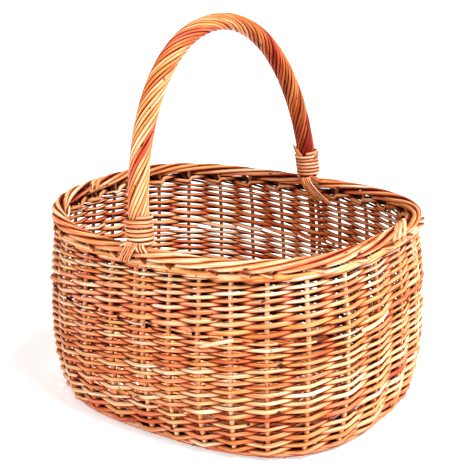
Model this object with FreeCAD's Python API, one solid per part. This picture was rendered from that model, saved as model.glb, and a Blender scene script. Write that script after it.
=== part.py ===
import FreeCAD, Part
import math
import os
from bisect import bisect_right

from FreeCAD import Vector

# Oval woven willow market basket with a roped bow handle.
# Frame: +Z up, origin under the middle of the base, X along the basket, Y across it, millimetres.
# The bow handle crosses the basket along Y.

os.makedirs("parts", exist_ok=True)

# Driving dimensions
half_length = 205.0        # middle of the wall at the rim, along X
half_width = 174.0         # middle of the wall at the rim, along Y
outline_power = 2.85       # 2 is an ellipse, more is squarer
rim_height = 228.0         # middle of the border over the handle's feet
rim_lift = 10.0            # how much higher the border stands at the two ends
belly = 11.8               # how far the wall swells beyond the rim
belly_height = 110.0
foot_tuck = 12.6           # how far the wall draws in at the floor
tuck_power = 2.2

base_thickness = 12.0
base_gap = 0.3             # between the base's edge and the wale round it
# The sticks lie side by side in the middle and fan out to the edge
cross_stick_radius = 4.5
cross_stick_count = 5
cross_stick_pitch = 20.0   # in the middle
cross_stick_fan = 58.0     # at the edge
long_stick_radius = 2.7
long_stick_count = 3
long_stick_pitch = 7.0
long_stick_fan = 70.0
stick_bend = 10.0          # from the outermost crossing to where the sticks start to fan

stake_count = 30
stake_radius = 2.4
stake_foot = 5.0           # height of a stake's lower end
stake_steps = 12
first_stake = 0.749        # beside the near leg, as a share of the way round from the +X end
# Where stakes stand closer on one side: first stake, how many, how far they shift, skew
bunches = ((0, 8, -0.018, 1.5), (15, 9, 0.009, 0.8))
# The two stakes beside the bow's legs stand clear of them
beside_legs = {0: 0.0033, 15: -0.0081}
clearance = 0.1            # between a rod and the channel it lies in

wall_half = 5.5            # half the thickness of the woven wall
upsett_half = 6.0
upsett_top = 48.0
siding_join = 146.0        # height where the two bands of siding meet
border_half_height = 7.0
border_half_width = 9.0
border_outset = 2.5        # the border is rolled a little outwards
border_round = 2.5         # how much its corners are drawn in
top_wale_height = 10.0
top_wale_half = 7.0
band_gap = 0.1

handle_rise = 230.0        # middle of the bow above the rim
arch_power = 2.1           # 2 is an ellipse
near_foot = (-8.0, -171.0)
far_foot = (2.0, 173.0)
bow_lean = -23.0           # the bow's crown leans towards -X
bow_radius = 7.0
leg_width = 6.0            # half sizes of the thinned leg where it enters the border
leg_depth = 3.2
leg_tip_width = 3.5
leg_tip_depth = 2.2
leg_end = 85.0             # height of the legs' tips
leg_top = 216.0            # where the legs leave the line of the wall, inside the border
rope_radius = 11.5         # at the feet
rope_widening = 2.0        # at the crown the roping is wider along X and flatter
rope_flattening = 1.2
rope_start = 9.0           # height of the roping's ends above the middle of the border

binding_turns = 7
binding_pitch = 4.6
binding_rod = 2.0
binding_gap = 0.5          # between the roping and the turns round it
tail_count = 5
tail_rod = 1.6
tail_pitch = 3.5
tail_drop = 30.0
near_tail_top = 8.0        # heights of the tails' upper ends above the middle of the border
far_tail_top = 8.0
tail_clear = 6.0           # between the far roping and the tails that run down inside it

siding_steps = 3
leg_steps = 7
arch_steps = 30
outline_points = 60
fine_steps = 1440


def signed_power(value, power):
    return math.copysign(abs(value) ** power, value)


def wall_offset(z):
    """How far the middle of the wall stands outside the rim's outline at height z."""
    if z < belly_height:
        climb = 1.0 - z / belly_height
        return -foot_tuck + (belly + foot_tuck) * math.sqrt(max(0.0, 1.0 - climb ** tuck_power))
    rise = (z - belly_height) / (rim_height - belly_height)
    return belly * (1.0 - rise ** 2)


def lifted(z, x):
    """The height of the level z at the place x: the upper levels rise towards the ends."""
    share = min(1.0, max(0.0, (z - siding_join) / (rim_height - siding_join)))
    return z + rim_lift * share * min(1.0, abs(x) / half_length) ** outline_power


class Outline:
    """The basket's plan outline, moved outwards by an offset, walked by its length."""

    made = {}

    def __init__(self, offset):
        self.points = []
        for step in range(fine_steps + 1):
            angle = 2 * math.pi * step / fine_steps
            x = (half_length + offset) * signed_power(math.cos(angle), 2 / outline_power)
            y = (half_width + offset) * signed_power(math.sin(angle), 2 / outline_power)
            self.points.append((x, y))
        self.walked = [0.0]
        for a, b in zip(self.points, self.points[1:]):
            self.walked.append(self.walked[-1] + math.dist(a, b))

    @classmethod
    def at(cls, offset):
        key = round(offset, 6)
        if key not in cls.made:
            cls.made[key] = cls(offset)
        return cls.made[key]

    def place(self, share):
        """The point a share of the way round, counterclockwise from the +X end."""
        target = (share % 1.0) * self.walked[-1]
        index = min(bisect_right(self.walked, target), fine_steps) - 1
        part = (target - self.walked[index]) / (self.walked[index + 1] - self.walked[index])
        (xa, ya), (xb, yb) = self.points[index], self.points[index + 1]
        return xa + part * (xb - xa), ya + part * (yb - ya)


def level_edge(z, out):
    """A closed curve round the basket at level z, out beyond the middle of the wall."""
    outline = Outline.at(wall_offset(z) + out)
    points = []
    for step in range(outline_points):
        x, y = outline.place(step / outline_points)
        points.append(Vector(x, y, lifted(z, x)))
    curve = Part.BSplineCurve()
    curve.interpolate(Points=points, PeriodicFlag=True)
    return curve.toShape()


def band(levels):
    """A closed band of wall. Each level is its height, its outer and its inner offset."""
    outer = [level_edge(z, out) for z, out, inn in levels]
    inner = [level_edge(z, inn) for z, out, inn in levels]
    faces = []
    for edges in (outer, inner):
        faces += Part.makeLoft([Part.Wire([edge]) for edge in edges], False, False).Faces
    faces.append(Part.makeRuledSurface(outer[0], inner[0]))
    faces.append(Part.makeRuledSurface(outer[-1], inner[-1]))
    shell = Part.makeShell(faces)
    shell.sewShape()
    solid = Part.makeSolid(shell)
    if solid.Volume < 0:
        solid.reverse()
    return solid


def oval_wire(centre, direction, across, half_across, half_deep):
    """An ellipse about centre, square to direction, with its long half size along across."""
    direction = direction.normalize()
    across = (across - direction * across.dot(direction)).normalize()
    if abs(half_across - half_deep) < 1e-9:
        edge = Part.Circle(centre, direction, half_across).toShape()
    else:
        deep = direction.cross(across)
        edge = Part.Ellipse(centre + across * half_across, centre + deep * half_deep, centre).toShape()
    return Part.Wire([edge])


def rod(points, sizes, across):
    """A rod lofted along points, with a pair of half sizes at each point."""
    wires = []
    for index, point in enumerate(points):
        before = points[max(0, index - 1)]
        after = points[min(len(points) - 1, index + 1)]
        wires.append(oval_wire(point, after - before, across, *sizes[index]))
    return Part.makeLoft(wires, True, False)


def stake_share(index):
    """Where stake number index stands, as a share of the way round."""
    share = first_stake + index / stake_count + beside_legs.get(index, 0.0)
    for first, count, shift, skew in bunches:
        if first < index < first + count:
            share += shift * math.sin(math.pi * ((index - first) / count) ** skew)
    return share


def stake_points(index, low, high):
    """Points up a stake, closer together near the floor, where it bends most."""
    points = []
    for step in range(stake_steps + 1):
        z = low + (high - low) * (step / stake_steps) ** 1.4
        x, y = Outline.at(wall_offset(z)).place(stake_share(index))
        points.append(Vector(x, y, lifted(z, x)))
    return points


def stake(index, extra=0.0):
    points = stake_points(index, stake_foot - extra, rim_height + extra)
    size = stake_radius + extra
    return rod(points, [(size, size)] * len(points), Vector(1, 0, 0))


def bow_path():
    """Points and half sizes from the near leg's tip over the crown to the far leg's tip."""
    near, far = [], []
    for step in range(leg_steps + 1):
        part = step / leg_steps
        z = leg_end + part * (leg_top - leg_end)
        reach = half_width + wall_offset(z)
        width = leg_tip_width + part * (leg_width - leg_tip_width)
        depth = leg_tip_depth + part * (leg_depth - leg_tip_depth)
        near.append((Vector(near_foot[0], -reach, z), (width, depth)))
        far.append((Vector(far_foot[0], reach, z), (width, depth)))
    arch = []
    half_span = (far_foot[1] - near_foot[1]) / 2
    first_angle = math.asin((rope_start / handle_rise) ** (arch_power / 2))
    for step in range(arch_steps + 1):
        angle = first_angle + (math.pi - 2 * first_angle) * step / arch_steps
        side = -signed_power(math.cos(angle), 2 / arch_power)
        rise = math.sin(angle) ** (2 / arch_power)
        x = near_foot[0] + (far_foot[0] - near_foot[0]) * (side + 1) / 2 + bow_lean * rise
        y = (far_foot[1] + near_foot[1]) / 2 + half_span * side
        arch.append((Vector(x, y, rim_height + handle_rise * rise), (bow_radius, bow_radius)))
    return near, arch, far[::-1]


def bow(extra=0.0):
    near, arch, far = bow_path()
    path = near + arch + far
    points = [point for point, size in path]
    sizes = [(size[0] + extra, size[1] + extra) for point, size in path]
    return rod(points, sizes, Vector(1, 0, 0))


def arch_points():
    """The bow's line above the border, which the roping and the bindings follow."""
    return [point for point, size in bow_path()[1]]


def roping():
    points = arch_points()
    sizes = []
    for point in points:
        rise = (point.z - rim_height) / handle_rise
        sizes.append((rope_radius + rope_widening * rise, rope_radius - rope_flattening * rise))
    outer = rod(points, sizes, Vector(1, 0, 0))
    hollow = bow_radius + clearance
    inner = rod(points, [(hollow, hollow)] * len(points), Vector(1, 0, 0))
    return outer.cut(inner)


def binding(points):
    """Thin rods wound round the roping, as a stack of closed turns going up from points[0]."""
    turns = []
    direction = (points[1] - points[0]).normalize()
    radius = rope_radius + binding_gap + binding_rod
    for turn in range(binding_turns):
        centre = points[0] + direction * (binding_rod + turn * binding_pitch)
        turns.append(Part.makeTorus(radius, binding_rod, centre, direction))
    return Part.makeCompound(turns)


def tails(start, run):
    """A bundle of straight rod ends beside each other."""
    rods = []
    for index in range(tail_count):
        place = start + Vector(index * tail_pitch, 0, 0)
        rods.append(Part.makeCylinder(tail_rod, run.Length, place, run))
    return Part.makeCompound(rods)


def base_slab():
    edge = level_edge(0.0, -(upsett_half + base_gap))
    face = Part.Face(Part.Wire([edge]))
    return face.extrude(Vector(0, 0, base_thickness))


def bent_stick(corners, radius):
    """A round stick through the corners, with a ball at each bend."""
    pieces = []
    for start, end in zip(corners, corners[1:]):
        pieces.append(Part.makeCylinder(radius, (end - start).Length, start, end - start))
    for corner in corners[1:-1]:
        pieces.append(Part.makeSphere(radius, corner))
    return pieces[0].fuse(pieces[1:]).removeSplitter()


def long_stick(number, radius):
    """Long sticks count from -Y to +Y."""
    rank = number - (long_stick_count - 1) / 2
    z = base_thickness / 2
    bend = cross_stick_pitch * (cross_stick_count - 1) / 2 + stick_bend
    inner, outer = rank * long_stick_pitch, rank * long_stick_fan
    return bent_stick([
        Vector(-half_length, outer, z), Vector(-bend, inner, z),
        Vector(bend, inner, z), Vector(half_length, outer, z)], radius)


def cross_stick(number, radius):
    """Cross sticks count from -X to +X."""
    rank = number - (cross_stick_count - 1) / 2
    z = base_thickness / 2
    bend = long_stick_pitch * (long_stick_count - 1) / 2 + stick_bend
    inner, outer = rank * cross_stick_pitch, rank * cross_stick_fan
    return bent_stick([
        Vector(outer, -half_width, z), Vector(inner, -bend, z),
        Vector(inner, bend, z), Vector(outer, half_width, z)], radius)


def save(name, shape):
    shape.exportStep("parts/%s.step" % name)
    volume = shape.Volume / 1000
    print("%-18s valid %s solids %d volume %.1f cm3" % (name, shape.isValid(), len(shape.Solids), volume))


def make_base():
    slab = base_slab()
    long_holes = [long_stick(n, long_stick_radius + clearance) for n in range(long_stick_count)]
    cross_holes = [cross_stick(n, cross_stick_radius + clearance) for n in range(cross_stick_count)]
    for number in range(long_stick_count):
        stick = long_stick(number, long_stick_radius).common(slab)
        save("base_stick_long_%d" % (number + 1), stick)
    for number in range(cross_stick_count):
        stick = cross_stick(number, cross_stick_radius).common(slab).cut(long_holes)
        save("base_stick_cross_%d" % (number + 1), stick)
    save("base_weave", slab.cut(long_holes + cross_holes))


def make_walls(channels):
    border_foot = rim_height - border_half_height
    wale_foot = border_foot - top_wale_height
    upsett = [(0.0, upsett_half, -upsett_half)]
    for z in (base_thickness / 2, base_thickness):
        upright = wall_offset(0.0) - upsett_half - wall_offset(z)
        upsett.append((z, upsett_half, upright))
    for z in ((base_thickness + upsett_top) / 2, upsett_top):
        upsett.append((z, upsett_half, -upsett_half))
    save("upsett_wale", band(upsett).cut(channels))
    for name, low, high in (("siding_lower", upsett_top, siding_join),
                            ("siding_upper", siding_join, wale_foot - band_gap)):
        levels = [low + (high - low) * step / siding_steps for step in range(siding_steps + 1)]
        save(name, band([(z, wall_half, -wall_half) for z in levels]).cut(channels))
    save("top_wale", band([
        (wale_foot, top_wale_half, -top_wale_half),
        (border_foot - band_gap, top_wale_half, -top_wale_half)]).cut(channels))
    out = border_outset + border_half_width
    inn = border_outset - border_half_width
    save("border", band([
        (border_foot, out - border_round, inn + border_round),
        (rim_height - border_round, out, inn),
        (rim_height + border_round, out, inn),
        (rim_height + border_half_height, out - border_round, inn + border_round)]).cut(channels))


def make_handle():
    save("handle_bow", bow())
    save("handle_roping", roping())
    points = arch_points()
    save("binding_near", binding(points[:2]))
    save("binding_far", binding(points[:-3:-1]))
    outside = half_width + border_outset + border_half_width + tail_rod + 2 * clearance
    start = Vector(near_foot[0] - tail_pitch * 2, -outside, rim_height + near_tail_top)
    save("lashing_near", tails(start, Vector(-tail_drop / 2, 0, -tail_drop)))
    inside = far_foot[1] - rope_radius - tail_clear
    start = Vector(far_foot[0] - tail_pitch * 2, inside, rim_height + far_tail_top)
    save("lashing_far", tails(start, Vector(tail_drop * 0.8, tail_drop / 4, -tail_drop)))


for number in range(stake_count):
    save("stake_%02d" % (number + 1), stake(number))

channel_list = [stake(number, clearance) for number in range(stake_count)]
channel_list.append(bow(clearance))
make_base()
make_walls(channel_list)
make_handle()
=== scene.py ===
import math

import bpy
import numpy as np
from mathutils import Euler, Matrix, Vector


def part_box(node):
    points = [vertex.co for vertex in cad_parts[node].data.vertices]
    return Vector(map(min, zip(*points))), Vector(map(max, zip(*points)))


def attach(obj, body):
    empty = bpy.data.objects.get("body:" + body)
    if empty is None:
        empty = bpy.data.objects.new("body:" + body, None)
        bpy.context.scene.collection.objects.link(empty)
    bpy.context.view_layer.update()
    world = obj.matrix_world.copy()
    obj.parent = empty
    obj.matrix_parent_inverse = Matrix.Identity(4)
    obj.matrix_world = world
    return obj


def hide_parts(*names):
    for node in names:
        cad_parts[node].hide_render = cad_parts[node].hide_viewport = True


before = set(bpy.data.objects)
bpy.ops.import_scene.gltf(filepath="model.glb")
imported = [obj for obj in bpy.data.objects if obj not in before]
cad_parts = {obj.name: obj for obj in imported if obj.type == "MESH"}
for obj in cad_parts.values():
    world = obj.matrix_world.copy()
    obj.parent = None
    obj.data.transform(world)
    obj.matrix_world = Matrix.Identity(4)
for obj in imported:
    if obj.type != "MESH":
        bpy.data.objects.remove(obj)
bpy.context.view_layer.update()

# Oval woven willow market basket. Every rod of the weave is a tapered tube that follows the
# wall of the CAD frame. Sizes are in millimetres and become metres when a mesh is made.

MM = 0.001


# ---------------------------------------------------------------- the basket's form

def node_box(node):
    low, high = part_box(node)
    return np.array(low) / MM, np.array(high) / MM


BORDER_HALF_HEIGHT = 7.0
BORDER_REACH = 12.0         # from the middle of the wall to the border's outer face
border_low, border_high = node_box("border")
HALF_LENGTH = border_high[0] - BORDER_REACH     # middle of the wall at the rim, along X
HALF_WIDTH = border_high[1] - BORDER_REACH      # and along Y
RIM_HEIGHT = border_low[2] + BORDER_HALF_HEIGHT
JOIN_HEIGHT = node_box("siding_upper")[0][2]
UPSETT_TOP = node_box("siding_lower")[0][2]
WALE_FOOT = node_box("top_wale")[0][2]
BASE_TOP = node_box("base_weave")[1][2]
OUTLINE_POWER = 2.85        # 2 is an ellipse, more is squarer
LEFT_LIFT = 10.0            # how much higher the rim stands at the -X end
RIGHT_LIFT = 2.0            # and at the +X end
NEAR_DIP = 5.0              # how much lower it is along the near side
BELLY = 11.8                # how far the wall swells beyond the rim
BELLY_HEIGHT = 110.0
FOOT_TUCK = 12.6            # how far the wall draws in at the floor
TUCK_POWER = 2.2
STEEPEST = 0.8              # limit on the wall's outward slope near the floor

STAKES = 30
STAKE_RADIUS = 2.4
STAKE_POINTS = 48
FIRST_STAKE = 0.749         # beside the near leg, as a share of the way round from +X
# Stretches where the stakes are shifted along: first stake, steps, largest shift, skew
BUNCHES = ((0, 8, -0.018, 1.5), (15, 9, 0.009, 0.8))
# How far the two stakes beside the bow's legs are moved aside, as a share of the way round
BESIDE_LEGS = {0: 0.0033, 15: -0.0081}


def signed_power(value, power):
    return np.sign(value) * np.abs(value) ** power


def smooth_step(value, low, high):
    """0 below low, 1 above high, smooth between."""
    share = np.clip((value - low) / (high - low), 0.0, 1.0)
    return share * share * (3 - 2 * share)


def unit(vectors):
    return vectors / np.maximum(np.linalg.norm(vectors, axis=-1, keepdims=True), 1e-9)


def walked(line):
    """How far along a line each of its points lies."""
    return np.concatenate([[0], np.cumsum(np.linalg.norm(np.diff(line, axis=0), axis=1))])


def wall_offset(z):
    """How far the middle of the wall stands outside the rim's outline at height z."""
    z = np.asarray(z, float)
    climb = np.clip(1 - z / BELLY_HEIGHT, 0, 1)
    low = -FOOT_TUCK + (BELLY + FOOT_TUCK) * np.sqrt(np.maximum(0, 1 - climb ** TUCK_POWER))
    rise = (z - BELLY_HEIGHT) / (RIM_HEIGHT - BELLY_HEIGHT)
    return np.where(z < BELLY_HEIGHT, low, BELLY * (1 - rise ** 2))


OUTLINE_POINTS = 4001
outline_turn = np.linspace(0, 2 * math.pi, OUTLINE_POINTS)
outline_x = HALF_LENGTH * signed_power(np.cos(outline_turn), 2 / OUTLINE_POWER)
outline_y = HALF_WIDTH * signed_power(np.sin(outline_turn), 2 / OUTLINE_POWER)
outline_walk = walked(np.column_stack([outline_x, outline_y]))
outline_share = outline_walk / outline_walk[-1]


def outline(share):
    """Points and outward directions of the rim's outline, a share of the way round from +X."""
    share = np.mod(share, 1.0)
    x = np.interp(share, outline_share, outline_x)
    y = np.interp(share, outline_share, outline_y)
    nx = signed_power(x / HALF_LENGTH, OUTLINE_POWER - 1) / HALF_LENGTH
    ny = signed_power(y / HALF_WIDTH, OUTLINE_POWER - 1) / HALF_WIDTH
    size = np.hypot(nx, ny)
    return x, y, nx / size, ny / size


def lift(z, x, y):
    """How far the wall is raised at x and y, nothing below the join of the two sidings."""
    share = np.clip((z - JOIN_HEIGHT) / (RIM_HEIGHT - JOIN_HEIGHT), 0, 1)
    end_lift = np.where(x < 0, LEFT_LIFT, RIGHT_LIFT)
    raised = end_lift * np.minimum(1, np.abs(x) / HALF_LENGTH) ** OUTLINE_POWER
    return share * (raised - NEAR_DIP * np.clip(-y / HALF_WIDTH, 0, 1) ** 4)


def facing(share, z):
    """The direction straight out of the wall."""
    share, z = np.broadcast_arrays(np.asarray(share, float), np.asarray(z, float))
    nx, ny = outline(share)[2:]
    slope = wall_offset(z + 0.5) - wall_offset(np.maximum(z - 0.5, 0))
    slope = np.clip(slope, -STEEPEST, STEEPEST)
    size = np.sqrt(1 + slope ** 2)
    return np.stack([nx / size, ny / size, -slope / size], axis=-1)


def wall(share, z, out):
    """Points beside the wall: a share of the way round, at height z, out along its normal."""
    share, z, out = np.broadcast_arrays(*(np.asarray(v, float) for v in (share, z, out)))
    x, y, nx, ny = outline(share)
    reach = wall_offset(z)
    middle = np.stack([x + nx * reach, y + ny * reach, z + lift(z, x, y)], axis=-1)
    return middle + facing(share, z) * out[..., None]


def stake_share(index):
    """Where stake number index stands on its round, leaving aside the bow's legs."""
    turns, index = divmod(index, STAKES)
    share = turns + FIRST_STAKE + index / STAKES
    for first, count, shift, skew in BUNCHES:
        if first < index < first + count:
            share += shift * math.sin(math.pi * ((index - first) / count) ** skew)
    return share


stake_numbers = np.arange(-2 * STAKES, 3 * STAKES + 1)
stake_shares = np.array([stake_share(int(number)) for number in stake_numbers])


def share_at(u):
    """The share of the way round at u, where whole numbers are stakes."""
    return np.interp(u, stake_numbers, stake_shares)


# ---------------------------------------------------------------- rods

SIDES = 10                  # faces round a rod
GRAIN_SPREAD = 4000         # rods take their grain from places up to this far apart

# Painted shade: a rod's colour is darkened where it is tucked away among others, in the grooves
# between rods laid side by side and on a weaver's underside
FACE_DARK = -0.3            # a weaver's face is dark this far out of the wall's middle,
FACE_LIGHT = 2.6            # and fully light this far out
UNDERSIDE_LOSS = 0.85       # how much of its light the underside of a weaver loses
GROOVE_LIGHT = 0.12         # what is left in the grooves between rods laid side by side


class Wander:
    """A smooth random line, for the small unevenness of work done by hand."""

    WAVES = 4

    def __init__(self, rng, spacing=1.0):
        self.phases = rng.uniform(0, 2 * math.pi, self.WAVES)
        self.rates = rng.uniform(0.5, 1.6, self.WAVES) / spacing
        self.sizes = rng.uniform(0.4, 1.0, self.WAVES)
        self.sizes *= 1.4 / self.sizes.sum()

    def __call__(self, u):
        u = np.asarray(u, float)
        return sum(size * np.sin(rate * 2 * math.pi * u + phase)
                   for size, rate, phase in zip(self.sizes, self.rates, self.phases))


def smoothed(points, count):
    """A smooth line of count points through a few rough ones, keeping both its ends."""
    points = np.asarray(points, float)
    fine = np.linspace(0, len(points) - 1, count)
    whole = np.arange(len(points))
    line = np.stack([np.interp(fine, whole, column) for column in points.T], axis=-1)
    for _ in range(count // 3):
        line[1:-1] = (line[:-2] + 2 * line[1:-1] + line[2:]) / 4
    return line


def carried_frames(tangent):
    """A direction across the rod at each point, carried along it without twisting."""
    current = np.array(Vector(tangent[0]).orthogonal().normalized())
    sides = np.empty_like(tangent)
    for index, direction in enumerate(tangent):
        current = current - direction * current.dot(direction)
        current /= math.sqrt(current.dot(current))
        sides[index] = current
    return sides


def crevice_shade(ring, radii, open_side, depth):
    """Painted shade for a rod's colour: 1 where a rod lies open and less where it is tucked away
    between others or, on a weaver, faces down.
    """
    if open_side is None:
        return 1.0
    open_side = np.broadcast_to(open_side, ring[:, 0].shape)
    outward = np.einsum("nsk,nk->ns", ring, open_side)
    if depth is None:
        return GROOVE_LIGHT + (1 - GROOVE_LIGHT) * smooth_step(outward, 0.1, 0.9)
    seen_outside = depth[:, None] + radii[:, None] * np.maximum(outward, 0)
    seen_inside = radii[:, None] * np.maximum(-outward, 0) - depth[:, None]
    face = seen_inside + (seen_outside - seen_inside) * smooth_step(outward, -0.3, 0.0)
    # painted shade on the underside of a weaver
    downward = -ring[..., 2]
    underside = UNDERSIDE_LOSS * smooth_step(downward, 0.05, 0.75)
    return smooth_step(face, FACE_DARK, FACE_LIGHT) * (1 - underside)


class Bundle:
    """Rods gathered into one mesh, each a closed tube with its own tone and grain."""

    def __init__(self, seed):
        self.rng = np.random.default_rng(seed)
        self.points = []
        self.rods = []
        self.grains = []
        self.quads = []
        self.caps = []
        self.count = 0

    def rod(self, line, radii, tone=None, closed=False, sides=SIDES, open_side=None, depth=None):
        """Adds a tube round line. tone is 0 for dark bark and 1 for cream, or left to chance.
        open_side points away from the crevices that a rod lies in, where painted shade darkens it;
        depth is how far the rod's middle is out of a wall that is open on both its sides."""
        line = np.asarray(line, float)
        n = len(line)
        radii = np.broadcast_to(np.asarray(radii, float), (n,))
        if tone is None:
            tone = self.rng.uniform(0, 1)
        if closed:
            tangent = unit(np.roll(line, -1, 0) - np.roll(line, 1, 0))
        else:
            tangent = unit(np.gradient(line, axis=0))
        side = carried_frames(tangent)
        other = np.cross(tangent, side)
        angle = 2 * math.pi * np.arange(sides) / sides
        cosine, sine = np.cos(angle), np.sin(angle)
        ring = side[:, None, :] * cosine[None, :, None] + other[:, None, :] * sine[None, :, None]
        self.points.append((line[:, None, :] + ring * radii[:, None, None]).reshape(-1, 3))

        along = walked(line)
        place = np.zeros((n, sides, 3))
        place[:, :, 0] = cosine * radii[:, None]
        place[:, :, 1] = sine * radii[:, None]
        place[:, :, 2] = along[:, None]
        self.grains.append((place + self.rng.uniform(0, GRAIN_SPREAD, 3)).reshape(-1, 3))
        values = np.empty((n, sides, 4))
        values[..., 0] = tone
        values[..., 1] = (along / along[-1])[:, None]
        values[..., 2] = self.rng.uniform(0, 1)
        # the fourth channel is painted shade, which darkens the rod's colour in the material
        values[..., 3] = crevice_shade(ring, radii, open_side, depth)
        self.rods.append(values.reshape(-1, 4))

        row = np.arange(n if closed else n - 1)[:, None]
        column = np.arange(sides)[None, :]
        after = (row + 1) % n
        beside = (column + 1) % sides
        faces = np.stack([row * sides + column, row * sides + beside,
                          after * sides + beside, after * sides + column], axis=-1)
        self.quads.append(faces.reshape(-1, 4) + self.count)
        if not closed:
            self.caps.append(np.arange(sides)[::-1] + self.count)
            self.caps.append(np.arange(sides) + (n - 1) * sides + self.count)
        self.count += n * sides

    def make(self, name, material, slot, *nodes):
        """Makes the rods into one piece that stands for nodes of the CAD."""
        quads = np.concatenate(self.quads)
        loops = np.concatenate([quads.ravel()] + self.caps)
        totals = np.array([4] * len(quads) + [len(cap) for cap in self.caps])
        starts = np.concatenate([[0], np.cumsum(totals)[:-1]])
        mesh = bpy.data.meshes.new(name)
        mesh.vertices.add(self.count)
        mesh.vertices.foreach_set("co", (np.concatenate(self.points) * MM).ravel())
        mesh.loops.add(len(loops))
        mesh.loops.foreach_set("vertex_index", loops)
        mesh.polygons.add(len(totals))
        mesh.polygons.foreach_set("loop_start", starts)
        mesh.polygons.foreach_set("loop_total", totals)
        smooth = np.arange(len(totals)) < len(quads)
        mesh.polygons.foreach_set("use_smooth", smooth)
        mesh.update(calc_edges=True)
        # the rod attribute carries tone, place along, chance and painted shade
        rod = mesh.attributes.new("rod", "FLOAT_COLOR", "POINT")
        rod.data.foreach_set("color", np.concatenate(self.rods).ravel())
        grain = mesh.attributes.new("grain", "FLOAT_VECTOR", "POINT")
        grain.data.foreach_set("vector", (np.concatenate(self.grains) * MM).ravel())
        mesh.materials.append(material)
        piece = bpy.data.objects.new(name, mesh)
        bpy.context.collection.objects.link(piece)
        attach(piece, "root")
        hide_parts(*nodes)


# ---------------------------------------------------------------- materials

DEEP = (0.30, 0.036, 0.012)
RUSSET = (0.66, 0.150, 0.042)
ORANGE = (0.85, 0.32, 0.12)
HONEY = (0.94, 0.58, 0.31)
CREAM = (0.99, 0.86, 0.66)
KNOT = (0.07, 0.016, 0.006)
# Painted shade: the rod's colour is multiplied by these, darkest in crevices, halfway, and
# unchanged where the rod lies open
PAINTED_SHADE_DARKEST = (0.030, 0.002, 0.001)
PAINTED_SHADE_HALFWAY = (0.56, 0.24, 0.13)
WHITE = (1.0, 1.0, 1.0)
WILLOW_TONES = ((0.0, DEEP), (0.26, RUSSET), (0.50, ORANGE), (0.72, HONEY), (0.92, CREAM))
PAINTED_SHADE_TONES = ((0.0, PAINTED_SHADE_DARKEST), (0.45, PAINTED_SHADE_HALFWAY), (1.0, WHITE))

# Sizes of the noise in a rod, in waves per metre across it twice and along it
STREAKS = (900, 900, 28)
BLOTCHES = (70, 70, 16)
FIBRES = (2600, 2600, 120)
KNOTS = (150, 150, 70)

# How much a rod's own tone, its streaks, blotches and painted shade count in its place on the ramp
TONE_WEIGHT = 0.40
STREAK_WEIGHT = 1.2
BLOTCH_WEIGHT = 0.9
SHADE_WEIGHT = 0.30
BASIC_TONE = 0.03           # what every rod starts from
HUE_LEAST, HUE_SPREAD = 0.488, 0.024   # the least hue, where 0.5 is unchanged, and its range
KNOT_FROM, KNOT_TO = 0.70, 0.76     # the noise levels where a knot begins and is full


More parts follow.
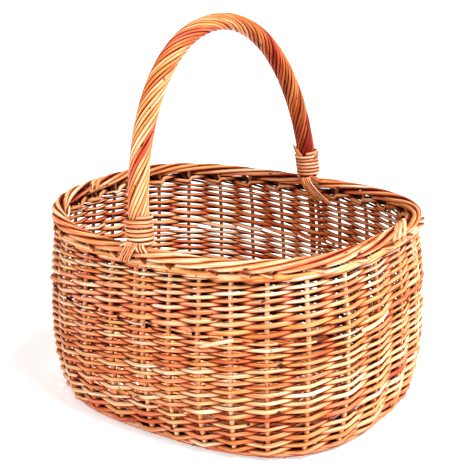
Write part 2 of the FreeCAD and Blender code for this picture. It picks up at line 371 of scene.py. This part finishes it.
def willow(name, tone_shift=0.0, along_shift=0.1, gloss=0.30):
    """Varnished willow: tone by rod, streaks along the grain, blotches, knots and a coat, darkened
    by painted shade where the rod is tucked away.
    """
    material = bpy.data.materials.new(name)
    material.use_nodes = True
    tree = material.node_tree
    nodes, links = tree.nodes, tree.links
    shader = nodes["Principled BSDF"]

    def node(kind, **values):
        made = nodes.new(kind)
        for key, value in values.items():
            setattr(made, key, value)
        return made

    def maths(operation, a, b, c=None):
        made = node("ShaderNodeMath", operation=operation)
        for socket, value in zip(made.inputs, (a, b, c)):
            if isinstance(value, (int, float)):
                socket.default_value = value
            elif value is not None:
                links.new(value, socket)
        return made.outputs[0]

    def colour_ramp(factor, tones):
        made = node("ShaderNodeValToRGB")
        elements = made.color_ramp.elements
        elements[0].position = tones[0][0]
        elements[0].color = (*tones[0][1], 1)
        elements[1].position = tones[-1][0]
        elements[1].color = (*tones[-1][1], 1)
        for position, colour in tones[1:-1]:
            elements.new(position).color = (*colour, 1)
        links.new(factor, made.inputs[0])
        return made.outputs["Color"]

    def grain_noise(scale, detail):
        mapping = node("ShaderNodeMapping")
        mapping.inputs["Scale"].default_value = scale
        links.new(grain.outputs["Vector"], mapping.inputs["Vector"])
        noise = node("ShaderNodeTexNoise")
        noise.inputs["Scale"].default_value = 1.0
        noise.inputs["Detail"].default_value = detail
        links.new(mapping.outputs[0], noise.inputs["Vector"])
        return noise.outputs["Fac"]

    def centred(noise):
        return maths("SUBTRACT", noise, 0.5)

    grain = node("ShaderNodeAttribute", attribute_name="grain")
    rod = node("ShaderNodeAttribute", attribute_name="rod")
    parts = node("ShaderNodeSeparateColor")
    links.new(rod.outputs["Color"], parts.inputs[0])
    tone, along, chance = parts.outputs[0], parts.outputs[1], parts.outputs[2]
    # painted shade, from the alpha of the rod attribute
    shade = rod.outputs["Alpha"]
    streaks = grain_noise(STREAKS, 3.0)
    blotches = grain_noise(BLOTCHES, 2.0)
    fibres = grain_noise(FIBRES, 2.0)
    knots = grain_noise(KNOTS, 1.0)

    value = maths("MULTIPLY_ADD", tone, TONE_WEIGHT, tone_shift + BASIC_TONE)
    value = maths("MULTIPLY_ADD", centred(streaks), STREAK_WEIGHT, value)
    value = maths("MULTIPLY_ADD", centred(blotches), BLOTCH_WEIGHT, value)
    # along_shift lightens or darkens a rod from one end to the other; on the handle it is painted
    # shade towards the far leg
    value = maths("MULTIPLY_ADD", along, along_shift, value)
    # painted light and shade: open faces move up the ramp towards cream, tucked and downward faces
    # towards dark
    value = maths("MULTIPLY_ADD", shade, SHADE_WEIGHT, value)

    spot = node("ShaderNodeMapRange")
    spot.inputs["From Min"].default_value = KNOT_FROM
    spot.inputs["From Max"].default_value = KNOT_TO
    links.new(knots, spot.inputs["Value"])
    knotted = node("ShaderNodeMix", data_type="RGBA")
    links.new(spot.outputs[0], knotted.inputs["Factor"])
    links.new(colour_ramp(value, WILLOW_TONES), knotted.inputs["A"])
    knotted.inputs["B"].default_value = (*KNOT, 1)
    hue = node("ShaderNodeHueSaturation")
    links.new(maths("MULTIPLY_ADD", chance, HUE_SPREAD, HUE_LEAST), hue.inputs["Hue"])
    links.new(knotted.outputs["Result"], hue.inputs["Color"])
    # painted shade: the colour is multiplied darker and redder where the rod is tucked away
    painted_shade_multiply = node("ShaderNodeMix", data_type="RGBA", blend_type="MULTIPLY")
    painted_shade_multiply.inputs["Factor"].default_value = 1.0
    links.new(hue.outputs[0], painted_shade_multiply.inputs["A"])
    links.new(colour_ramp(shade, PAINTED_SHADE_TONES), painted_shade_multiply.inputs["B"])
    links.new(painted_shade_multiply.outputs["Result"], shader.inputs["Base Color"])

    links.new(maths("MULTIPLY_ADD", streaks, 0.25, gloss), shader.inputs["Roughness"])
    shader.inputs["Specular IOR Level"].default_value = 0.12
    shader.inputs["Coat Weight"].default_value = 0.06
    shader.inputs["Coat Roughness"].default_value = 0.22
    height = maths("MULTIPLY_ADD", streaks, 0.6, maths("MULTIPLY", fibres, 0.4))
    bump = node("ShaderNodeBump")
    bump.inputs["Strength"].default_value = 0.5
    bump.inputs["Distance"].default_value = 0.0004
    links.new(height, bump.inputs["Height"])
    links.new(bump.outputs[0], shader.inputs["Normal"])
    return material


weave_willow = willow("weave_willow")
stake_willow = willow("stake_willow", tone_shift=-0.02)
rim_willow = willow("rim_willow", tone_shift=0.02)
# the handle's along_shift paints it darker towards its far leg: painted shade
handle_willow = willow("handle_willow", tone_shift=0.12, along_shift=-0.56, gloss=0.26)
binding_willow = willow("binding_willow", tone_shift=0.06, along_shift=0.0, gloss=0.26)


# ---------------------------------------------------------------- the side of the basket

WEAVER_FILL = 0.56          # a weaver's radius as a share of the distance between levels
POINTS_A_STEP = 12          # points of a weaver from one stake to the next
SHARPNESS = 0.992           # 1 makes a weaver straight between stakes, less rounds its bends
PRESS = 0.95                # how far a weaver keeps from a stake's middle, 1 just touches it
PAIRS = (0, STAKES // 2)    # where a leg of the bow stands beside a stake
PAIR_HALF = 0.15            # half the width of such a pair, in steps

# Stray ends at the join: where one starts and how long it is, in steps, its height and its rise
STRAYS = ((2.08, 1.02, 133.5, 13.0), (6.4, 0.9, 141.0, 9.0),
          (14.2, 1.0, 143.0, 8.0), (22.5, 0.9, 142.0, 9.0))
STRAY_RADIUS = 2.5
STRAY_TONE = 0.85
STRAY_POINTS = 30


def swing(u, start):
    """-1 to 1: behind the stake that a weaver starts from, before the next, and so on."""
    nearest = np.round(u)
    away = u - nearest
    paired = np.isin(np.mod(nearest, STAKES), PAIRS)
    narrowed = np.sign(away) * np.maximum(0, np.abs(away) - PAIR_HALF) / (0.5 - PAIR_HALF) * 0.5
    away = np.where(paired, narrowed, away)
    side = np.where(np.mod(nearest - start, 2) < 0.5, -1.0, 1.0)
    bend = np.arcsin(SHARPNESS * np.cos(math.pi * away)) / math.asin(SHARPNESS)
    return side * bend


class Levels:
    """Heights of a band of weaving that rises from low to high in a number of steps. first and
    last are the sizes of its first and last steps beside each other."""

    def __init__(self, low, high, steps, first, last):
        scale = (high - low) / (steps * (first + last) / 2)
        self.low = low
        self.steps = steps
        self.first = first * scale
        self.last = last * scale

    def gap(self, v):
        return self.first + (self.last - self.first) * np.clip(v / self.steps, 0, 1)

    def height(self, v):
        return self.low + self.first * v + (self.last - self.first) * v ** 2 / (2 * self.steps)


def rand_band(node, seed, levels, from_v, to_v, parts):
    """A band of French randing: one weaver starts at each stake, and all rise together."""
    bundles = [Bundle(seed + part) for part in range(parts)]
    waviness = Wander(np.random.default_rng(seed + 100), 7.0)
    for start in range(STAKES):
        bundle = bundles[start % parts]
        own = Wander(bundle.rng, 2.2)
        width = Wander(bundle.rng, 3.0)
        late = to_v + bundle.rng.uniform(-0.25, 0.2)
        early = from_v - bundle.rng.uniform(0.0, 0.3)
        first, last = int(early * POINTS_A_STEP), int(late * POINTS_A_STEP)
        v = np.arange(first, last + 1) / POINTS_A_STEP
        u = v + start
        radii = levels.gap(v) * WEAVER_FILL * (1 + 0.08 * width(u)) * bundle.rng.uniform(0.92, 1.07)
        tip = 0.75 + 0.25 * smooth_step(late - v, 0, 1.5)
        out = swing(u, start) * (STAKE_RADIUS + radii) * PRESS + 0.25 * own(u + 40)
        z = levels.height(v) + 0.55 * own(u) + 0.9 * waviness(np.mod(u, STAKES))
        line = wall(share_at(u), z, out)
        # the weaver's colour gets painted shade where it passes behind stakes and on its underside
        bundle.rod(line, radii * tip, open_side=facing(share_at(u), z), depth=out)
    for part, bundle in enumerate(bundles):
        bundle.make("%s_%d" % (node, part + 1), weave_willow, "woven_willow", node)


def wale(bundle, z, rods, front, radius, slant, tones=(0.2, 0.9), inset=0.0):
    """A round of waling: each rod passes in front of some stakes and behind one."""
    period = front + 1
    for start in range(rods):
        u = start + np.linspace(0, STAKES, STAKES * POINTS_A_STEP, endpoint=False)
        since_behind = np.mod(np.mod(u - start, period) - front, period)
        from_behind = np.minimum(since_behind, period - since_behind)
        rising = np.clip((since_behind - 0.45) / (period - 0.9), 0, 1)
        own = Wander(bundle.rng, 4.0)
        out = (STAKE_RADIUS + radius) * (2 * smooth_step(from_behind, 0, 0.8) - 1) - inset
        height = z + slant * (2 * rising - 1) + 0.4 * own(u)
        radii = radius * (1 + 0.06 * own(u + 9))
        tone = bundle.rng.uniform(*tones)
        line = wall(share_at(u), height, out)
        # painted shade where the rod passes behind a stake and on its underside
        open_side = facing(share_at(u), height)
        bundle.rod(line, radii, tone, closed=True, open_side=open_side, depth=out)


def make_upsett():
    levels = Levels(low=7.2, high=UPSETT_TOP + 1.0, steps=8, first=6.0, last=5.4)
    rand_band("upsett_wale", 31, levels, from_v=-0.35, to_v=7.6, parts=1)
    foot = Bundle(35)
    # A real foot wale, kept to dark tones so that the gaps at the foot read as shade: partly
    # painted shade
    wale(foot, z=7.3, rods=4, front=3, radius=2.9, slant=1.0, tones=(0.0, 0.4), inset=3.4)
    foot.make("upsett_foot", weave_willow, "woven_willow", "upsett_wale")


def make_siding():
    lower = Levels(low=UPSETT_TOP + 2.5, high=JOIN_HEIGHT + 1.5, steps=22, first=5.5, last=3.6)
    rand_band("siding_lower", 11, lower, from_v=-0.3, to_v=21.4, parts=3)
    upper = Levels(low=JOIN_HEIGHT + 2.0, high=WALE_FOOT + 0.5, steps=15, first=5.3, last=3.2)
    rand_band("siding_upper", 21, upper, from_v=-0.3, to_v=15.3, parts=3)


def make_strays():
    """Rod ends that lie loose on the outside of the wall where the two sidings meet."""
    bundle = Bundle(29)
    for start, length, foot, rise in STRAYS:
        part = np.array([0.0, 0.2, 0.6, 1.0])
        climbed = np.array([0.0, 0.3, 0.7, 1.0])
        out = [1.0, 6.5, 8.0, 3.0]
        rough = np.column_stack([start + length * part, foot + rise * climbed, out])
        u, z, out = smoothed(rough, STRAY_POINTS).T
        radii = STRAY_RADIUS * np.linspace(1.0, 0.8, STRAY_POINTS)
        bundle.rod(wall(share_at(u), z, out), radii, STRAY_TONE)
    bundle.make("joint_strays", weave_willow, "woven_willow", "siding_upper")


def make_top_wale():
    bundle = Bundle(41)
    wale(bundle, z=WALE_FOOT + 5.0, rods=3, front=2, radius=2.9, slant=2.5)
    bundle.make("top_wale", rim_willow, "border_willow", "top_wale")


def make_stakes():
    foot, below_rim = 4.0, 2.0
    for number in range(STAKES):
        bundle = Bundle(500 + number)
        share = stake_share(number) + BESIDE_LEGS.get(number, 0.0)
        z = foot + (RIM_HEIGHT - below_rim - foot) * np.linspace(0, 1, STAKE_POINTS) ** 1.15
        own = Wander(bundle.rng, 90.0)
        line = wall(share + 0.0006 * own(z), z, 1.5 + 0.3 * own(z + 70))
        radii = STAKE_RADIUS * np.interp(z, [0, RIM_HEIGHT], [1.22, 1.08])
        bundle.rod(line, radii, bundle.rng.uniform(0.15, 0.7))
        name = "stake_%02d" % (number + 1)
        bundle.make(name, stake_willow, "stick_willow", name)


# ---------------------------------------------------------------- the border

BORDER_ROD = 3.0
BORDER_ACROSS = 6.3         # half sizes of the roll that the rods' middles follow
BORDER_TALL = 4.7
BORDER_OUTSET = 2.5         # how far the roll's middle is out of the wall
# A stake's end leaves the wall, turns round the roll and comes out: where each part ends, in steps
ROOT_END, ROLL_END, TAIL_END = 0.30, 4.75, 5.35
ROOT_DEPTH = 16.0           # how far below the rim's middle it leaves the wall
# Its angle round the roll in degrees, where the roll begins, one step along and where it ends
ROLL_FROM, ROLL_AT_ONE, ROLL_TO = -62, -22, 218
TAIL_OUT = 12.2             # where its cut end stands out of the wall
TAIL_DROP = 5.8             # and how far that is below the end of the roll
CROSSINGS = (8.10, 8.32, 8.60, 22.8, 23.1)      # where rods that finish the border cross it
# The points of such a rod: steps along, out of the wall, above the rim's middle
CROSSING_PATH = ((0.42, -6.5, -2.0), (0.30, -4.0, 5.0), (0.0, 3.0, 7.6),
                 (-0.35, 9.0, 3.5), (-0.55, 11.5, -4.0))
CROSSING_POINTS = 24


def border_path():
    """How far along in steps, out of the wall and high a stake's end lies in the border."""
    root = np.linspace(0, 1, 6)[:-1]
    tail = np.linspace(0, 1, 12)[1:]
    rolled = np.linspace(ROOT_END, ROLL_END, 60)
    angle = np.interp(rolled, [ROOT_END, 1.0, ROLL_END], [ROLL_FROM, ROLL_AT_ONE, ROLL_TO])
    angle = np.radians(angle)
    out = BORDER_OUTSET + BORDER_ACROSS * np.cos(angle)
    z = RIM_HEIGHT + BORDER_TALL * np.sin(angle)
    root_foot = RIM_HEIGHT - ROOT_DEPTH
    root_z = root_foot + (z[0] - root_foot) * root ** 0.7
    tail_out = out[-1] + (TAIL_OUT - out[-1]) * tail
    tail_z = z[-1] - TAIL_DROP * tail ** 0.8
    v = np.concatenate([ROOT_END * root, rolled, ROLL_END + (TAIL_END - ROLL_END) * tail])
    out = np.concatenate([root * out[0], out, tail_out])
    z = np.concatenate([root_z, z, tail_z])
    return v, out, z


def make_border():
    """Each stake's end bends to the right, over the rim and back out under it."""
    bundle = Bundle(61)
    v, out, z = border_path()
    for start in range(STAKES):
        own = Wander(bundle.rng, 2.0)
        share = share_at(start + v * bundle.rng.uniform(0.94, 1.06))
        radii = BORDER_ROD * np.interp(v, [0, 1, 5.4], [0.95, 1.06, 0.80]) * (1 + 0.05 * own(v))
        line = wall(share, z + 0.35 * own(v + 7), out + 0.3 * own(v + 3))
        roll = wall(share, RIM_HEIGHT, BORDER_OUTSET)
        # painted shade on the side of each border rod that faces into the roll
        bundle.rod(line, radii, open_side=unit(line - roll))
    steps, out, up = smoothed(CROSSING_PATH, CROSSING_POINTS).T
    for spot in CROSSINGS:
        line = wall(share_at(spot + steps), RIM_HEIGHT + up, out)
        bundle.rod(line, np.linspace(2.7, 2.1, CROSSING_POINTS), bundle.rng.uniform(0.4, 0.8))
    bundle.make("border", rim_willow, "border_willow", "border")


# ---------------------------------------------------------------- the handle

HANDLE_RISE = 228.0         # middle of the bow's crown above the rim's middle
ARCH_POWER = 2.1            # 2 is an ellipse
NEAR_FOOT = (-8.0, -171.0)
FAR_FOOT = (2.0, 173.0)
BOW_LEAN = -21.0            # the bow's crown leans towards -X
BOW_RADIUS = 7.0
BOW_POINTS = 120
LEG_TOP_RADIUS, LEG_TIP_RADIUS = 4.4, 3.5
LEG_END, LEG_TOP = 85.0, 216.0      # heights of a leg's tip and of where it leaves the wall
LEG_POINTS = 30
ROPE_RADIUS = 11.5          # at the feet
ROPE_WIDENING = 2.0         # at the crown the roping is wider along X
ROPE_FLATTENING = 1.2       # and flatter
ROPE_START = 9.0            # how far above the rim's middle the roping starts
NEAR_SINK = 9.0             # how far it runs below that at the near foot
ROPE_POINTS = 200
STRANDS = 15
STRAND_RADIUS = 2.0
TWIST_TURNS = -4.2
BINDING_TURNS = 7
BINDING_PITCH = 4.7
BINDING_ROD = 2.05
BINDING_GAP = 0.4           # between the roping and the turns round it
BINDING_TONE = 0.75
BINDING_START = 2.0         # where the first turn starts, in radians
POINTS_A_TURN = 26
BINDING_SAMPLES = 400       # points of the arch that the turns are laid round


def arch(count):
    """The bow's middle line above the border, from the near foot to the far one, and its
    length."""
    first = math.asin((ROPE_START / HANDLE_RISE) ** (ARCH_POWER / 2))
    angle = np.linspace(first, math.pi - first, count)
    side = -signed_power(np.cos(angle), 2 / ARCH_POWER)
    rise = np.sin(angle) ** (2 / ARCH_POWER)
    x = NEAR_FOOT[0] + (FAR_FOOT[0] - NEAR_FOOT[0]) * (side + 1) / 2 + BOW_LEAN * rise
    y = (FAR_FOOT[1] + NEAR_FOOT[1]) / 2 + (FAR_FOOT[1] - NEAR_FOOT[1]) / 2 * side
    line = np.stack([x, y, RIM_HEIGHT + HANDLE_RISE * rise], axis=-1)
    line = np.concatenate([[line[0] + unit(line[0] - line[1]) * NEAR_SINK], line])
    along = walked(line)
    even = np.linspace(0, along[-1], count)
    return np.stack([np.interp(even, along, axis) for axis in line.T], axis=-1), along[-1]


def arch_frame(line):
    """Directions across the arch, near +X, and outwards from it."""
    tangent = unit(np.gradient(line, axis=0))
    across = unit(np.array([1.0, 0, 0]) - tangent * tangent[:, :1])
    return across, np.cross(across, tangent)


def make_bow():
    bundle = Bundle(71)
    steps = np.linspace(0, 1, LEG_POINTS)
    z = LEG_END + (LEG_TOP - LEG_END) * steps
    reach = HALF_WIDTH + wall_offset(z)
    near = np.stack([np.full(LEG_POINTS, NEAR_FOOT[0]), -reach, z], axis=-1)
    far = np.stack([np.full(LEG_POINTS, FAR_FOOT[0]), reach, z], axis=-1)
    line, _ = arch(BOW_POINTS)
    path = np.concatenate([near, line, far[::-1]])
    leg = LEG_TIP_RADIUS + (LEG_TOP_RADIUS - LEG_TIP_RADIUS) * steps
    radii = np.concatenate([leg, np.full(BOW_POINTS, BOW_RADIUS), leg[::-1]])
    bundle.rod(path, radii, 0.35, sides=14)
    bundle.make("handle_bow", handle_willow, "handle_willow", "handle_bow")


def make_roping():
    bundle = Bundle(72)
    line, _ = arch(ROPE_POINTS)
    across, outward = arch_frame(line)
    share = np.linspace(0, 1, ROPE_POINTS)
    rise = np.clip((line[:, 2] - RIM_HEIGHT) / HANDLE_RISE, 0, 1)
    wide = ROPE_RADIUS + ROPE_WIDENING * rise - STRAND_RADIUS
    deep = ROPE_RADIUS - ROPE_FLATTENING * rise - STRAND_RADIUS
    for strand in range(STRANDS):
        own = Wander(bundle.rng, 0.35)
        angle = 2 * math.pi * (strand / STRANDS + TWIST_TURNS * share + 0.012 * own(share))
        radii = STRAND_RADIUS * (1 + 0.09 * own(share + 5))
        away = across * (wide * np.cos(angle))[:, None] + outward * (deep * np.sin(angle))[:, None]
        # painted shade in the grooves between strands, on their sides facing the bow
        bundle.rod(line + away, radii, open_side=unit(away))
    bundle.make("handle_roping", handle_willow, "handle_willow", "handle_roping")


def make_binding(name, seed, at_start):
    """A rod wound round the foot of the handle, turn on turn."""
    bundle = Bundle(seed)
    line, length = arch(BINDING_SAMPLES)
    if not at_start:
        line = line[::-1]
    across, outward = arch_frame(line)
    distance = np.linspace(0, length, BINDING_SAMPLES)
    turns = np.linspace(0, BINDING_TURNS - 0.15, BINDING_TURNS * POINTS_A_TURN)
    own = Wander(bundle.rng, 1.2)
    along = BINDING_ROD + turns * BINDING_PITCH + 0.35 * own(turns + 11)
    angle = 2 * math.pi * turns + BINDING_START
    centre = np.stack([np.interp(along, distance, axis) for axis in line.T], axis=-1)
    index = (along / length * (BINDING_SAMPLES - 1)).astype(int)
    index = np.clip(index, 0, BINDING_SAMPLES - 1)
    radius = ROPE_RADIUS + BINDING_GAP + BINDING_ROD + 0.4 * own(turns)
    away = across[index] * (radius * np.cos(angle))[:, None]
    away = away + outward[index] * (radius * np.sin(angle))[:, None]
    radii = BINDING_ROD * (1 + 0.08 * own(turns + 3))
    # painted shade on the side of each turn that faces the roping
    bundle.rod(centre + away, radii, BINDING_TONE, open_side=unit(away))
    bundle.make(name, binding_willow, "handle_willow", name)


# ---------------------------------------------------------------- the lashings

TAIL_POINTS = 24
# painted shade darkens the tails on the side away from this direction
TAIL_OPEN_SIDE = unit(np.array([0, -1, 0.3]))   # the side on which the tails lie open


def tails(bundle, path, spread, radius=1.5, count=5):
    """Rods side by side along a path of corner points. spread is the step from one to the
    next, at the start of the path and at its end."""
    line = smoothed(path, TAIL_POINTS)
    share = np.linspace(0, 1, TAIL_POINTS)
    first, last = np.asarray(spread, float)
    for number in range(count):
        rank = number - (count - 1) / 2
        shift = (first + (last - first) * share[:, None]) * rank
        own = Wander(bundle.rng, 0.8)
        wobble = np.stack([0.3 * own(share + axis) for axis in range(3)], axis=-1)
        radii = radius * np.interp(share, [0, 1], [1.05, 0.9]) * bundle.rng.uniform(0.9, 1.1)
        trim = int(TAIL_POINTS * bundle.rng.uniform(0.88, 1.0))
        tone = bundle.rng.uniform(0.3, 1.0)
        bundle.rod((line + shift + wobble)[:trim], radii[:trim], tone, open_side=TAIL_OPEN_SIDE)


def make_near_lashing():
    bundle = Bundle(81)
    x, y = NEAR_FOOT
    top = RIM_HEIGHT - NEAR_DIP
    face = -(HALF_WIDTH + BORDER_REACH + 1.0)
    over_the_border = [(x + 1, y - 14.5, top + 14), (x - 2, face - 1.0, top + 7),
                       (x - 7, face - 2.0, top - 1), (x - 14, face + 1.0, top - 12)]
    tails(bundle, over_the_border, ((2.9, 0, 0), (3.3, 0, 0)))
    to_the_right = [(x + 9, y - 13.0, top + 12), (x + 11, y - 14.5, top + 8),
                    (x + 14, y - 13.0, top + 3)]
    tails(bundle, to_the_right, ((3.8, 1.2, 0), (5.0, 1.0, 0)), radius=1.7, count=3)
    to_the_left = [(x + 2, y - 16.5, top + 12), (x - 9, y - 16.5, top + 11.5),
                   (x - 17, y - 12.0, top + 8), (x - 22, y - 9.0, top + 1)]
    tails(bundle, to_the_left, ((0, 0, 2.0), (2.5, 0, 1.0)), radius=1.8, count=2)
    bundle.make("lashing_near", binding_willow, "handle_willow", "lashing_near")


def make_far_lashing():
    bundle = Bundle(82)
    x, y = FAR_FOOT
    top = RIM_HEIGHT
    down_inside = [(x + 3, y - 15, top + 10), (x + 7, y - 17.5, top + 3),
                   (x + 18, y - 16, top - 10), (x + 33, y - 9, top - 25)]
    tails(bundle, down_inside, ((2.9, 0, 0.5), (4.2, 0, 1.0)))
    along_the_border = [(x + 9, y - 14, top + 12), (x + 14, y - 14.5, top + 9),
                        (x + 24, y - 11, top + 4)]
    tails(bundle, along_the_border, ((2.6, 0, 1.6), (3.0, 0, 1.8)), radius=1.8, count=3)
    tips_on_the_left = [(x - 7, y - 14, top + 38), (x - 11, y - 14.5, top + 45),
                        (x - 14, y - 14, top + 53)]
    tails(bundle, tips_on_the_left, ((3.0, 0, 1.0), (3.0, 0, -3.0)), radius=1.5, count=3)
    tips_on_the_right = [(x + 12, y - 6, top + 38), (x + 15, y - 5, top + 46)]
    tails(bundle, tips_on_the_right, ((2.4, 0, 0), (2.6, 0, 1.5)), radius=1.5, count=2)
    bundle.make("lashing_far", binding_willow, "handle_willow", "lashing_far")


# ---------------------------------------------------------------- the base

# Sticks lie side by side in the middle and fan out to the edge
CROSS_STICKS, CROSS_PITCH, CROSS_FAN, CROSS_RADIUS = 5, 20.0, 58.0, 4.0
LONG_STICKS, LONG_PITCH, LONG_FAN, LONG_RADIUS = 3, 7.0, 70.0, 2.6
STICK_BEND = 10.0           # from the outermost crossing to where the sticks start to fan
STICK_END = 0.985           # how near to the base's edge the sticks reach
BASE_OVERHANG = 1.5         # the base's edge outside the middle of the wall at the floor
BASE_LENGTH = HALF_LENGTH - FOOT_TUCK + BASE_OVERHANG
BASE_WIDTH = HALF_WIDTH - FOOT_TUCK + BASE_OVERHANG
BASE_ROD = 2.1
BASE_PITCH = 4.2            # from one round of the base's weave to the next
BASE_SWING = 2.78           # how far the rounds rise over a stick and dip under the next
ROUND_POINTS = 320


def stick_line(number, count, pitch, fan, bend, end):
    """Half sizes across and along of a stick's points, from one end to the other."""
    rank = number - (count - 1) / 2
    return [(rank * fan, -end), (rank * pitch, -bend), (rank * pitch, bend), (rank * fan, end)]


def base_reach(x, y):
    """1 at the base's edge, less inside it."""
    return (abs(x) / BASE_LENGTH) ** OUTLINE_POWER + (abs(y) / BASE_WIDTH) ** OUTLINE_POWER


def trimmed(points):
    """The line through points, cut off a little inside the base's edge."""
    pieces = 24
    fine = []
    for (xa, ya), (xb, yb) in zip(points, points[1:]):
        for step in range(pieces):
            part = step / pieces
            fine.append((xa + (xb - xa) * part, ya + (yb - ya) * part))
    return np.array([(x, y) for x, y in fine if base_reach(x, y) < STICK_END])


def make_base_sticks():
    middle = BASE_TOP / 2
    cross_bend = LONG_PITCH * (LONG_STICKS - 1) / 2 + STICK_BEND
    long_bend = CROSS_PITCH * (CROSS_STICKS - 1) / 2 + STICK_BEND
    for number in range(CROSS_STICKS):
        bundle = Bundle(90 + number)
        flat = stick_line(number, CROSS_STICKS, CROSS_PITCH, CROSS_FAN, cross_bend, HALF_WIDTH)
        line = trimmed(flat)
        line = np.column_stack([line, np.full(len(line), middle)])
        bundle.rod(line, CROSS_RADIUS * (1 - 0.25 * np.abs(line[:, 1]) / HALF_WIDTH))
        name = "base_stick_cross_%d" % (number + 1)
        bundle.make(name, stake_willow, "stick_willow", name)
    for number in range(LONG_STICKS):
        bundle = Bundle(96 + number)
        flat = stick_line(number, LONG_STICKS, LONG_PITCH, LONG_FAN, long_bend, HALF_LENGTH)
        line = trimmed([(along, across) for across, along in flat])
        line = np.column_stack([line, np.full(len(line), middle)])
        bundle.rod(line, LONG_RADIUS * (1 - 0.15 * np.abs(line[:, 0]) / HALF_LENGTH))
        name = "base_stick_long_%d" % (number + 1)
        bundle.make(name, stake_willow, "stick_willow", name)


def make_base_weave():
    bundle = Bundle(99)
    cross_bend = LONG_PITCH * (LONG_STICKS - 1) / 2 + STICK_BEND
    rounds = int((BASE_WIDTH - cross_bend) / BASE_PITCH)
    spokes = CROSS_STICKS * 2 + LONG_STICKS * 2
    angle = np.linspace(0, 2 * math.pi, ROUND_POINTS, endpoint=False)
    for number in range(rounds):
        inset = (number + 0.5) * BASE_PITCH
        length, width = BASE_LENGTH - inset, BASE_WIDTH - inset
        power = 2 + (OUTLINE_POWER - 2) * width / BASE_WIDTH
        x = length * signed_power(np.cos(angle), 2 / power)
        y = width * signed_power(np.sin(angle), 2 / power)
        z = BASE_TOP / 2 + BASE_SWING * np.cos(angle * spokes / 2 + math.pi * number)
        tone = bundle.rng.uniform(0.0, 0.6)
        bundle.rod(np.column_stack([x, y, z]), BASE_ROD, tone, closed=True, sides=8)
    bundle.make("base_weave", weave_willow, "woven_willow", "base_weave")


# ---------------------------------------------------------------- floor, light and camera

FLOOR_REACH = 30.0          # half the floor's size, in metres
FLOOR_COLOUR = (0.82, 0.84, 0.88, 1)
FLOOR_GLOW = 0.56
STUDIO_COLOUR = (1.0, 0.90, 0.82, 1)
STUDIO_STRENGTH = 0.42

AZIMUTH = math.radians(34.83)
ELEVATION = math.radians(17.01)
ROLL = math.radians(-0.675)
DISTANCE = 1.309            # in metres, from AIM
AIM = Vector((0, 0, 0.200))
LENS = 80.63
SHIFT_X, SHIFT_Y = 0.003, -0.007


def make_camera():
    back = Vector((math.sin(AZIMUTH) * math.cos(ELEVATION),
                   -math.cos(AZIMUTH) * math.cos(ELEVATION), math.sin(ELEVATION)))
    data = bpy.data.cameras.new("camera")
    data.sensor_width = 36.0
    data.lens = LENS
    data.shift_x = SHIFT_X
    data.shift_y = SHIFT_Y
    camera = bpy.data.objects.new("camera", data)
    camera.location = AIM + back * DISTANCE
    turned = (-back).to_track_quat("-Z", "Y")
    roll = Euler((0, 0, ROLL)).to_quaternion()
    camera.rotation_mode = "QUATERNION"
    camera.rotation_quaternion = turned @ roll
    bpy.context.collection.objects.link(camera)
    bpy.context.scene.camera = camera


def make_floor():
    mesh = bpy.data.meshes.new("floor")
    corners = [(-FLOOR_REACH, -FLOOR_REACH, 0), (FLOOR_REACH, -FLOOR_REACH, 0),
               (FLOOR_REACH, FLOOR_REACH, 0), (-FLOOR_REACH, FLOOR_REACH, 0)]
    mesh.from_pydata(corners, [], [(0, 1, 2, 3)])
    floor = bpy.data.objects.new("floor", mesh)
    bpy.context.collection.objects.link(floor)
    material = bpy.data.materials.new("floor_white")
    material.use_nodes = True
    shader = material.node_tree.nodes["Principled BSDF"]
    shader.inputs["Base Color"].default_value = FLOOR_COLOUR
    shader.inputs["Roughness"].default_value = 0.9
    shader.inputs["Specular IOR Level"].default_value = 0.1
    shader.inputs["Emission Color"].default_value = (1, 1, 1, 1)
    shader.inputs["Emission Strength"].default_value = FLOOR_GLOW
    mesh.materials.append(material)


def make_sun(name, towards, energy, width, colour):
    """A sun that shines from the direction towards, as soft as its width in degrees."""
    sun = bpy.data.lights.new(name, "SUN")
    sun.energy = energy
    sun.angle = math.radians(width)
    sun.color = colour
    lamp = bpy.data.objects.new(name, sun)
    lamp.rotation_euler = towards.to_track_quat("Z", "Y").to_euler()
    bpy.context.collection.objects.link(lamp)


def make_lights():
    world = bpy.data.worlds.new("studio")
    bpy.context.scene.world = world
    world.use_nodes = True
    background = world.node_tree.nodes["Background"]
    background.inputs["Color"].default_value = STUDIO_COLOUR
    background.inputs["Strength"].default_value = STUDIO_STRENGTH
    right = Vector((math.cos(AZIMUTH), math.sin(AZIMUTH), 0))
    back = Vector((math.sin(AZIMUTH), -math.cos(AZIMUTH), 0))
    up = Vector((0, 0, 1))
    make_sun("key", right * 0.72 + back * 0.55 + up * 1.25,
             energy=4.5, width=22, colour=(1.0, 0.97, 0.92))
    make_sun("fill", right * -0.5 + back * 0.8 + up * 0.9,
             energy=0.65, width=60, colour=(1.0, 0.86, 0.76))


make_camera()
make_floor()
make_lights()
make_base_sticks()
make_base_weave()
make_upsett()
make_siding()
make_strays()
make_top_wale()
make_stakes()
make_border()
make_bow()
make_roping()
make_binding("binding_near", 73, at_start=True)
make_binding("binding_far", 74, at_start=False)
make_near_lashing()
make_far_lashing()
bpy.context.scene.view_settings.view_transform = "Standard"
